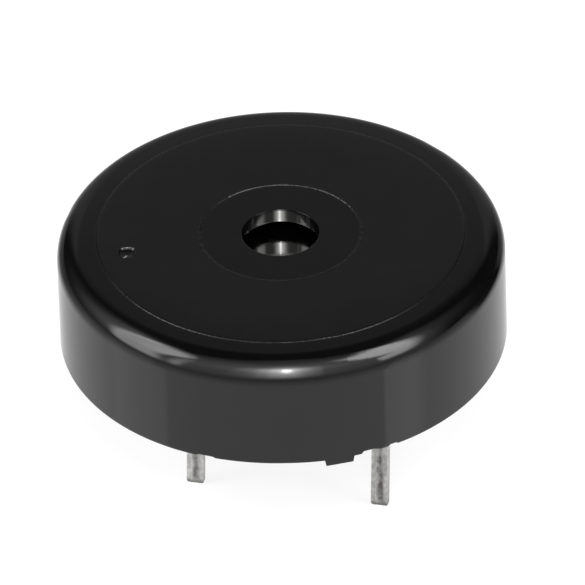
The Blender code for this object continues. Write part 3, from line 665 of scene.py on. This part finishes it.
def shaping_body(name, columns, place, turn):
    """A closed object from columns that all start and end at the same two points."""
    mesh = grid_mesh(name, columns, wrap=True, close_loop=False)
    shape = bmesh.new()
    shape.from_mesh(mesh)
    bmesh.ops.remove_doubles(shape, verts=shape.verts, dist=POLE_DISTANCE)
    bmesh.ops.recalc_face_normals(shape, faces=shape.faces)
    shape.to_mesh(mesh)
    shape.free()
    made = bpy.data.objects.new(name, mesh)
    bpy.context.scene.collection.objects.link(made)
    made.location = place
    made.rotation_euler.z = math.radians(turn)
    return made


def lump(name, half, place, turn):
    """A closed rounded lump: half sizes, centre, and turn in degrees."""
    rounds, rings = 40, 16
    columns = []
    for step in range(rounds):
        around = 2 * math.pi * step / rounds
        column = []
        for ring in range(rings + 1):
            rise = math.pi * (ring / rings - 0.5)
            out = max(math.cos(rise), 0.0)
            column.append((
                half[0] * out * math.cos(around), half[1] * out * math.sin(around),
                half[2] * math.sin(rise)))
        columns.append(column)
    return shaping_body(name, columns, place, turn)


def pit(name, place):
    """A closed plug in the shape of the gate's dimple: a flat floor and a leaning, wavy wall."""
    rounds = 96
    width, height = GATE_FILLET
    profile = (  # inset from the dimple's outline, None at its centre, and height over the face
        (None, -GATE_DEPTH), (GATE_WALL + width, -GATE_DEPTH), (GATE_WALL, -GATE_DEPTH + height),
        (0.0, 0.0), (-GATE_WALL, GATE_DEPTH), (None, GATE_DEPTH))
    columns = []
    for step in range(rounds):
        around = 2 * math.pi * step / rounds
        c, s = math.cos(around), math.sin(around)
        reach = (abs(c) ** GATE_POWER + abs(s) ** GATE_POWER) ** (-1 / GATE_POWER)
        wave = GATE_WAVE * math.cos(2 * math.pi * GATE_HALF[0] * reach * c / GATE_WAVE_LENGTH)
        column = []
        for inset, level in profile:
            half_x, half_y = (0.0, 0.0) if inset is None else (
                GATE_HALF[0] - inset, GATE_HALF[1] - inset + wave)
            column.append((half_x * reach * c, half_y * reach * s, level))
        columns.append(column)
    return shaping_body(name, columns, place, GATE_TURN)


def on_nub(x, y, z):
    """Whether a point of the case's surface is on the stub in the gate's dimple."""
    c, s = math.cos(math.radians(NUB_TURN)), math.sin(math.radians(NUB_TURN))
    away_x, away_y = x - NUB_PLACE[0], y - NUB_PLACE[1]
    along = (away_x * c + away_y * s) / NUB_HALF[0]
    across = (away_y * c - away_x * s) / NUB_HALF[1]
    return math.hypot(along, across) < 1.0 and z > BAND_Z - GATE_DEPTH


def case_slot(x, y, z):
    """The material slot of the case's surface at a point."""
    radius = math.hypot(x, y)
    if on_nub(x, y, z):
        return TORN
    if abs(radius - BAND_MIDDLE) < BAND_HALF + SPARK_MARGIN and z > FACE_Z - SPARK_DEPTH:
        return SPARKED
    return BORE if radius < HOLE_RADIUS + BORE_MARGIN else GLOSS


def make_case():
    """The moulded housing with its sparked band, and the gate's dimple with its torn stub."""
    case = bpy.data.objects.new("case_shell", case_mesh())
    bpy.context.scene.collection.objects.link(case)
    surface_z = BAND_Z - crown(math.hypot(*GATE_PLACE))
    dimple = pit("gate_dimple", (*GATE_PLACE, surface_z))
    nub = lump("gate_nub", NUB_HALF, (*NUB_PLACE, surface_z - GATE_DEPTH), NUB_TURN)
    for tool, operation in ((dimple, "DIFFERENCE"), (nub, "UNION")):
        change = case.modifiers.new(tool.name, "BOOLEAN")
        change.operation = operation
        change.solver = "EXACT"
        change.object = tool
    bpy.context.view_layer.update()
    shaped = case.evaluated_get(bpy.context.evaluated_depsgraph_get())
    mesh = bpy.data.meshes.new_from_object(shaped)
    for used in (case, dimple, nub):
        bpy.data.objects.remove(used, do_unlink=True)
    mesh.name = "case_shell"
    smooth(mesh)
    mesh.materials.clear()
    for face in mesh.polygons:
        face.material_index = case_slot(*face.center)
    finishes = (gloss_plastic(), spark_plastic(), bore_plastic(), torn_plastic_with_painted_glint())
    piece = link("case_shell", mesh, finishes)
    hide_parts("case")


# ---------------------------------------------------------------- pins


def pin_ring(width, thickness, groove):
    """A pin's section as (x, y) points: rounded edges, and a shallow groove on each broad face."""
    half, deep = width / 2, thickness / 2
    edge_round = min(PIN_EDGE_ROUND, 0.4 * thickness)
    corners = [
        (-half, -deep, edge_round, 4),
        (-GROOVE_BRINK, -deep, GROOVE_ROUND, 2),
        (-GROOVE_BED, -deep + groove, GROOVE_ROUND, 2),
        (GROOVE_BED, -deep + groove, GROOVE_ROUND, 2),
        (GROOVE_BRINK, -deep, GROOVE_ROUND, 2),
        (half, -deep, edge_round, 4),
    ]
    corners += [(-x, -y, radius, steps) for x, y, radius, steps in corners]
    return rounded(corners)


def bow(height, aside, lean):
    """How far a pin is bent along X at a height: a gentle bow from Z = 0 down, then a lean."""
    share = min(1.0, max(0.0, height / PIN_BEND_Z))
    curved = aside * (3.0 - 2.0 * share) * share**2
    curved += lean * PIN_BEND_Z * (1.0 - share) * share**2
    return curved + lean * max(0.0, PIN_BEND_Z - height)


def pin_stations():
    """A pin's (height, width, thickness) from its tip upwards, through the shoulder to the tail."""
    stations = [
        (PIN_TIP_Z + rise, PIN_WIDTH - narrower, PIN_THICKNESS - thinner)
        for rise, narrower, thinner in TIP_STATIONS]
    shaft_start = stations[-1][0]
    for step in range(1, SHAFT_STEPS):
        height = shaft_start + SHAFT_LENGTH * step / SHAFT_STEPS
        stations.append((height, PIN_WIDTH, PIN_THICKNESS))
    stations += [
        (SHOULDER_BOTTOM_Z - SHOULDER_STEP, PIN_WIDTH, PIN_THICKNESS),
        (SHOULDER_BOTTOM_Z, SHOULDER_WIDTH, SHOULDER_THICKNESS),
        (SHOULDER_TOP_Z, SHOULDER_WIDTH, SHOULDER_THICKNESS),
        (SHOULDER_TOP_Z + SHOULDER_STEP, TAIL_WIDTH, PIN_THICKNESS),
    ]
    stations += [
        (PIN_TOP_Z - drop, TAIL_WIDTH - narrower, PIN_THICKNESS - thinner)
        for drop, narrower, thinner in TAIL_STATIONS]
    return stations


def pin_columns(x, aside, lean):
    """A pin's sections as columns of points, bent aside by its bow and lean."""
    columns = []
    for height, width, thickness in pin_stations():
        share = min(1.0, max(GROOVE_LEAST, (height - PIN_TIP_Z) / GROOVE_RUNOUT))
        groove = SHOULDER_GROOVE_DEPTH if width > PIN_WIDTH else GROOVE_DEPTH * share
        middle = x + bow(height, aside, lean)
        ring = pin_ring(width, thickness, groove)
        columns.append([(middle + across, deep, height) for across, deep in ring])
    return columns


def make_pins():
    """The two stamped strips."""
    metal = pin_metal()
    for name, x, aside, lean in PINS:
        mesh = grid_mesh(
            f"pin_{name}_strip", pin_columns(x, aside, lean), wrap=False, close_loop=True,
            smooth_angle=PIN_SMOOTH_ANGLE)
        piece = link(f"pin_{name}_strip", mesh, (metal,))
        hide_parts(f"pin_{name}")


# ---------------------------------------------------------------- carried-over CAD nodes

FINISHES = (  # nodes, and the material's name, colours, roughness, noise scale, depth and metallic
    (("base_plate",), "moulded_black_matt",
     (0.010, 0.010, 0.010), (0.017, 0.017, 0.017), (0.38, 0.55), 700.0, 2e-6, 0.0),
    (("base_sealant",), "poured_resin",
     (0.008, 0.008, 0.009), (0.016, 0.016, 0.017), (0.12, 0.3), 900.0, 8e-6, 0.0),
    (("piezo_ceramic",), "fired_ceramic",
     (0.52, 0.47, 0.36), (0.66, 0.61, 0.49), (0.5, 0.7), 1500.0, 2e-6, 0.0),
    (("*_electrode",), "silver_print",
     (0.66, 0.65, 0.61), (0.80, 0.79, 0.76), (0.35, 0.55), 1800.0, 3e-6, 1.0),
    (("diaphragm_adhesive",), "cured_silicone",
     (0.58, 0.58, 0.55), (0.72, 0.72, 0.70), (0.25, 0.4), 900.0, 5e-6, 0.0),
    (("*solder*", "*_end_*"), "solder_joint",
     (0.58, 0.58, 0.57), (0.74, 0.74, 0.73), (0.14, 0.32), 2500.0, 2e-6, 1.0),
    (("resistor_*_body",), "alumina_body",
     (0.62, 0.61, 0.58), (0.76, 0.75, 0.72), (0.5, 0.7), 3000.0, 2e-6, 0.0),
    (("capacitor_body",), "capacitor_body",
     (0.34, 0.22, 0.12), (0.48, 0.33, 0.20), (0.45, 0.65), 3000.0, 2e-6, 0.0),
    (("*_wire",), "wire_insulation",
     (0.66, 0.65, 0.60), (0.78, 0.77, 0.73), (0.4, 0.55), 2500.0, 2e-6, 0.0),
    (("transistor_body",), "transistor_resin",
     (0.012, 0.012, 0.013), (0.022, 0.022, 0.023), (0.35, 0.5), 3000.0, 2e-6, 0.0),
    (("transistor_collector", "transistor_base", "transistor_emitter"), "tinned_leg",
     (0.50, 0.49, 0.46), (0.66, 0.65, 0.62), (0.25, 0.45), 3000.0, 1e-6, 1.0),
)


def dress(patterns, material):
    """Gives the CAD nodes whose names match one of the patterns a procedural material."""
    for name in sorted(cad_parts):
        if any(fnmatch(name, pattern) for pattern in patterns):
            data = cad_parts[name].data
            data.materials.clear()
            data.materials.append(material)


def dress_cad():
    """Materials for the pieces inside and underneath the case, which keep their CAD shapes."""
    dress(("diaphragm_plate",), plate_metal())
    dress(("circuit_board",), board_material())
    for patterns, *finish in FINISHES:
        dress(patterns, grained(*finish))


# ---------------------------------------------------------------- light
# The world is a studio, drawn by azimuth right of the camera and elevation, both in degrees. A
# softbox's edge is a limit that may vary with the other angle.


def between(tree, value, low, high, low_blur, high_blur):
    """1 between two limits and 0 outside them, with a soft change at each."""
    rise = eased(tree, value, low - low_blur, low + low_blur, 0.0, 1.0)
    fall = eased(tree, value, high - high_blur, high + high_blur, 1.0, 0.0)
    return maths(tree, "MULTIPLY", rise, fall)


def edge(tree, value, limit, blur):
    """1 where a value is above a limit, which may itself vary, with a soft change."""
    return eased(tree, maths(tree, "SUBTRACT", value, limit), -blur, blur, 0.0, 1.0)


def curve(tree, value, stops):
    """A value read off straight lines between (position, level) stops."""
    low, high = stops[0][0], stops[-1][0]
    ramp = node(tree, "ShaderNodeValToRGB", {0: ranged(tree, value, low, high, 0.0, 1.0)})
    elements = ramp.color_ramp.elements
    while len(elements) < len(stops):
        elements.new(0.5)
    for element, (position, level) in zip(elements, stops):
        element.position = (position - low) / (high - low)
        element.color = (level, level, level, 1.0)
    return ramp


def bearings(tree, vector):
    """A vector's azimuth right of the camera and elevation, in degrees, and its forward part."""
    swing = node(tree, "ShaderNodeVectorRotate", {
        "Vector": vector, "Angle": math.radians(-VIEW_AZIMUTH)}, rotation_type="Z_AXIS")
    sideways, backward, upward = axes(tree, swing)
    forward = maths(tree, "MULTIPLY", backward, -1.0)
    azimuth = maths(tree, "DEGREES", maths(tree, "ARCTAN2", sideways, forward))
    elevation = maths(tree, "DEGREES", maths(tree, "ARCSINE", upward))
    return azimuth, elevation, forward


def left_softbox(tree, azimuth, elevation):
    """The left softbox, wider at its top, with a narrow strip beside it and a fading surround."""
    outer = maths(tree, "MULTIPLY_ADD", elevation, -0.33, -86.5)
    inner = maths(tree, "MULTIPLY_ADD", -10.0, curve(tree, elevation, (
        (0.0, 0.4), (12.0, 0.45), (24.0, 0.78), (36.0, 0.6), (46.0, 0.15), (60.0, 0.15))), -58.0)
    past_corner = maths(tree, "MAXIMUM", maths(tree, "ADD", azimuth, 78.0), 0.0)
    top = maths(tree, "SUBTRACT", 61.5, maths(tree, "MULTIPLY", past_corner, 0.32))
    level = maths(tree, "ADD", 3.8, product(
        tree, 1.3, ranged(tree, elevation, 22.0, 38.0, 0.0, 1.0),
        ranged(tree, azimuth, -90.0, -80.0, 0.0, 1.0)))
    box = product(
        tree, edge(tree, azimuth, outer, 4.5), edge(tree, inner, azimuth, 4.5),
        edge(tree, top, elevation, 6.0), edge(tree, elevation, 5.0, 7.0), level)
    strip = product(
        tree, between(tree, azimuth, -57.2, -51.3, 3.5, 2.5),
        between(tree, elevation, 4.0, 46.0, 6.0, 6.0),
        curve(tree, elevation, ((0.0, 0.2), (10.0, 0.7), (18.0, 1.0), (50.0, 0.2))), 2.7)
    spill = product(
        tree, 1.15,
        curve(tree, azimuth, (
            (-150.0, 0.0), (-140.0, 0.02), (-133.0, 0.09), (-128.0, 0.13), (-115.0, 0.47),
            (-97.0, 1.0))),
        curve(tree, elevation, (
            (0.0, 0.2), (4.0, 0.25), (12.0, 0.45), (20.0, 0.75), (28.0, 1.0), (40.0, 1.0),
            (48.0, 1.3), (53.0, 1.9), (58.0, 1.6), (64.0, 1.0))),
        edge(tree, 62.0, elevation, 6.0), edge(tree, -88.0, azimuth, 8.0))
    return box, strip, spill


def right_softbox(tree, azimuth, elevation):
    """The right softbox, with a wide upper part, a narrow lower one, and a fading surround."""
    near = maths(tree, "MULTIPLY_ADD", 10.0, curve(tree, elevation, (
        (20.0, 1.7), (28.0, 1.65), (46.0, 0.45), (58.0, 0.0), (66.0, 0.0))), 38.0)
    far = maths(tree, "MULTIPLY_ADD", elevation, 0.40, 59.7)
    top = maths(tree, "MULTIPLY_ADD", azimuth, 0.165, 55.2)
    waist = 27.0  # elevation where the lower part ends and the upper one starts
    upper = product(
        tree, edge(tree, azimuth, near, 6.0), edge(tree, elevation, waist, 2.0),
        edge(tree, top, elevation, 6.0))
    lower = product(
        tree, edge(tree, azimuth, 46.9, 1.2), edge(tree, waist, elevation, 2.0),
        edge(tree, elevation, 11.5, 7.0))
    box = product(
        tree, maths(tree, "ADD", upper, lower), edge(tree, far, azimuth, 6.5),
        ranged(tree, elevation, 16.0, 44.0, 3.9, 6.0))
    spill = product(
        tree, ranged(tree, azimuth, 122.0, 78.0, 0.0, 0.6),
        curve(tree, elevation, (
            (0.0, 0.05), (16.0, 0.14), (32.0, 0.55), (50.0, 1.0), (56.0, 1.1), (66.0, 1.8))),
        edge(tree, 64.0, elevation, 6.0), edge(tree, azimuth, 62.0, 8.0))
    return box, spill


def lamp(tree, azimuth, elevation):
    """The lamp over the camera: a small bright core on an upright streak, in a wide glow."""
    glow = product(
        tree, 9.5,
        curve(tree, azimuth, (
            (-30.0, 0.0), (-24.0, 0.09), (-20.0, 0.14), (-16.0, 0.24), (-13.0, 0.44),
            (-10.0, 0.52), (-7.0, 0.83), (-4.0, 1.0), (0.0, 1.15), (4.0, 1.05), (7.0, 0.77),
            (10.0, 0.48), (13.0, 0.36), (16.0, 0.2), (20.0, 0.08), (24.0, 0.03), (30.0, 0.0))),
        curve(tree, elevation, (
            (2.0, 0.0), (6.0, 0.05), (12.0, 0.18), (16.0, 0.27), (20.0, 0.38), (24.0, 0.46),
            (28.0, 0.54), (32.0, 0.65), (36.0, 0.8), (40.0, 0.98), (44.0, 1.1), (48.0, 1.05),
            (51.0, 0.8), (54.0, 0.48), (58.0, 0.19), (64.0, 0.08), (68.0, 0.0))))
    beside = maths(tree, "ABSOLUTE", maths(tree, "SUBTRACT", azimuth, 0.9))
    streak = product(
        tree, eased(tree, beside, 0.0, 4.5, 13.0, 0.0),
        curve(tree, elevation, (
            (25.0, 0.0), (28.0, 0.1), (32.0, 0.45), (36.0, 0.85), (40.0, 1.0), (46.0, 1.0),
            (50.0, 0.27), (54.0, 0.0))))
    core_azimuth, core_elevation = 0.8, 42.8
    core_width, core_height = 1.7, 4.0
    rise = maths(
        tree, "MULTIPLY", maths(tree, "SUBTRACT", elevation, core_elevation), 1.0 / core_height)
    swing = maths(
        tree, "MULTIPLY", maths(tree, "SUBTRACT", azimuth, core_azimuth), 1.0 / core_width)
    core = eased(tree, hypotenuse(tree, rise, swing), 0.75, 1.2, 60.0, 0.0)
    return glow, streak, core


def dim_room(tree, azimuth, elevation, forward):
    """The room: pale on the camera's side, nearly dark behind, with a faint panel there."""
    dome = maths(
        tree, "MULTIPLY_ADD", forward, ranged(tree, elevation, 0.0, 50.0, 1.4, 2.0),
        curve(tree, elevation, (
            (-10.0, 0.0), (0.0, 0.0), (60.0, 0.22), (80.0, 0.24), (90.0, 0.52))))
    ahead = curve(tree, elevation, (
        (-10.0, 0.42), (-2.0, 0.45), (6.0, 0.57), (14.0, 0.76), (30.0, 0.92), (38.0, 1.2),
        (46.0, 1.45), (90.0, 1.45)))
    seen = maths(tree, "MINIMUM", maths(tree, "SUBTRACT", dome, 0.1), ahead)
    room = maths(tree, "MAXIMUM", 0.012, seen)
    from_panel = maths(tree, "RADIANS", maths(tree, "SUBTRACT", azimuth, 177.0))
    panel = product(
        tree, eased(tree, maths(tree, "COSINE", from_panel), 0.80, 0.95, 0.0, 1.0),
        curve(tree, elevation, (
            (-10.0, 0.26), (12.0, 0.26), (24.0, 0.25), (33.2, 0.26), (36.4, 0.15),
            (40.0, 0.125), (48.0, 0.04), (60.0, 0.0), (90.0, 0.0))))
    return room, panel


def make_world():
    """A photographic studio: two softboxes, a lamp over the camera, and a dim room."""
    world = bpy.data.worlds.new("studio")
    bpy.context.scene.world = world
    world.use_nodes = True
    tree = world.node_tree
    tree.nodes.clear()
    view = node(tree, "ShaderNodeTexCoord").outputs["Generated"]
    azimuth, elevation, forward = bearings(tree, view)
    left, strip, left_spill = left_softbox(tree, azimuth, elevation)
    right, right_spill = right_softbox(tree, azimuth, elevation)
    glow, streak, core = lamp(tree, azimuth, elevation)
    room, panel = dim_room(tree, azimuth, elevation, forward)
    level = total(
        tree, left, strip, left_spill, right, right_spill, glow, streak, core, room, panel)
    lit = node(tree, "ShaderNodeBackground", {"Color": (1, 1, 1, 1), "Strength": level})
    white = node(tree, "ShaderNodeBackground", {"Color": (1, 1, 1, 1), "Strength": 1.0})
    path = node(tree, "ShaderNodeLightPath")
    mix = node(tree, "ShaderNodeMixShader", {0: path.outputs["Is Camera Ray"], 1: lit, 2: white})
    node(tree, "ShaderNodeOutputWorld", {0: mix})


# ---------------------------------------------------------------- floor

FLOOR_Z = PIN_TIP_Z - 0.002 * MM
FLOOR_REACH = 4.0
FLOOR_SEEN, FLOOR_SHADE = 0.8, 0.21  # what the camera sees: an even white, and a part in shadow
FLOOR_COLOUR = 0.85  # for the light that it gives back to the buzzer
POLISHED_SIDES = (  # side, angle from the front where it starts at the wall, and its strength
    (-1, 32.0, 0.042),
    (1, 26.0, 0.062),
)
POLISH_BLUR = 0.2 * MM


def painted_floor_reflection(tree, place):
    """How bright the floor glows in the buzzer's gloss, by the distance from its axis and azimuth:
    a painted shadow under the buzzer, painted dark patches further out at its back and sides,
    painted fill light beside it, and a fall-off far away.
    """
    centre = (0.0, 0.0, FLOOR_Z)
    away = vector_maths(tree, "DISTANCE", place, centre).outputs["Value"]
    azimuth, _, _ = bearings(tree, place)
    # A painted shadow under the buzzer, bright beyond it, fading far away.
    bright = curve(tree, away, (
        (0.0, 0.35), (0.008, 0.35), (0.016, 0.93), (0.033, 0.93), (0.037, 0.88), (0.047, 0.78),
        (0.067, 0.64), (0.125, 0.50), (0.25, 0.42)))
    # Painted dark patches, further out at the back and sides.
    dark = maths(
        tree, "MULTIPLY", eased(tree, away, 0.034, 0.062, 0.0, 1.0),
        curve(tree, azimuth, (
            (-180.0, 0.25), (-150.0, 0.35), (-138.0, 0.6), (-125.0, 0.65), (-112.0, 0.3),
            (-100.0, 0.0), (92.0, 0.0), (102.0, 0.9), (122.0, 1.0), (130.0, 0.65),
            (140.0, 0.6), (150.0, 0.45), (165.0, 0.3), (180.0, 0.25))))
    # Painted fill light beside and behind the buzzer, at the edge of the painted shadow.
    painted_fill_light = product(
        tree, 0.2, ranged(tree, away, 0.009, 0.016, 1.0, 0.0),
        ranged(tree, maths(tree, "ABSOLUTE", azimuth), 60.0, 100.0, 0.0, 1.0))
    return maths(tree, "MULTIPLY_ADD", bright, maths(tree, "SUBTRACT", 1.0, dark), painted_fill_light)


def floor_polish(tree, place):
    """The faint mirror that the floor is in the buzzer's gloss, at either side of its front."""
    strengths = []
    for side, turn, strength in POLISHED_SIDES:
        start = direction(side * turn) * WALL_RADIUS
        outward = direction(side * (2 * turn + 90.0))
        from_start = vector_maths(tree, "SUBTRACT", place, start)
        past = vector_maths(tree, "DOT_PRODUCT", from_start, outward).outputs["Value"]
        strengths.append(ranged(tree, past, -POLISH_BLUR, POLISH_BLUR, 0.0, strength))
    shine = maths(tree, "MAXIMUM", *strengths)
    colour = node(tree, "ShaderNodeCombineColor", {0: shine, 1: shine, 2: shine})
    return node(tree, "ShaderNodeBsdfGlossy", {"Color": colour, "Roughness": 0.0})


def make_floor():
    """A plain white floor under the pins' tips, which keeps a faint shadow."""
    mesh = bpy.data.meshes.new("floor")
    corners = ((-1, -1), (1, -1), (1, 1), (-1, 1))
    mesh.from_pydata(
        [(x * FLOOR_REACH, y * FLOOR_REACH, FLOOR_Z) for x, y in corners], [], [(0, 1, 2, 3)])
    floor = bpy.data.objects.new("floor", mesh)
    bpy.context.scene.collection.objects.link(floor)
    material = bpy.data.materials.new("white_floor")
    material.use_nodes = True
    material.cycles.emission_sampling = "NONE"
    tree = material.node_tree
    tree.nodes.clear()
    place = node(tree, "ShaderNodeTexCoord").outputs["Object"]
    seen_white = node(tree, "ShaderNodeEmission", {"Strength": FLOOR_SEEN})
    seen_shade = node(tree, "ShaderNodeBsdfDiffuse", {"Color": (FLOOR_SHADE,) * 3})
    seen = node(tree, "ShaderNodeAddShader", {0: seen_white, 1: seen_shade})
    plain = node(tree, "ShaderNodeBsdfDiffuse", {"Color": (FLOOR_COLOUR,) * 3})
    # What the buzzer's gloss sees of the floor: a glow with a painted shadow, painted dark patches
    # and painted fill light.
    glow = node(tree, "ShaderNodeEmission", {"Strength": painted_floor_reflection(tree, place)})
    mirrored = node(tree, "ShaderNodeAddShader", {0: glow, 1: floor_polish(tree, place)})
    path = node(tree, "ShaderNodeLightPath")
    unseen = node(
        tree, "ShaderNodeMixShader", {0: path.outputs["Is Glossy Ray"], 1: plain, 2: mirrored})
    full = node(
        tree, "ShaderNodeMixShader", {0: path.outputs["Is Camera Ray"], 1: unseen, 2: seen})
    node(tree, "ShaderNodeOutputMaterial", {0: full})
    mesh.materials.append(material)


# ---------------------------------------------------------------- the scene

bpy.context.scene.view_settings.view_transform = "Standard"
make_camera()
make_case()
make_pins()
dress_cad()
make_world()
make_floor()
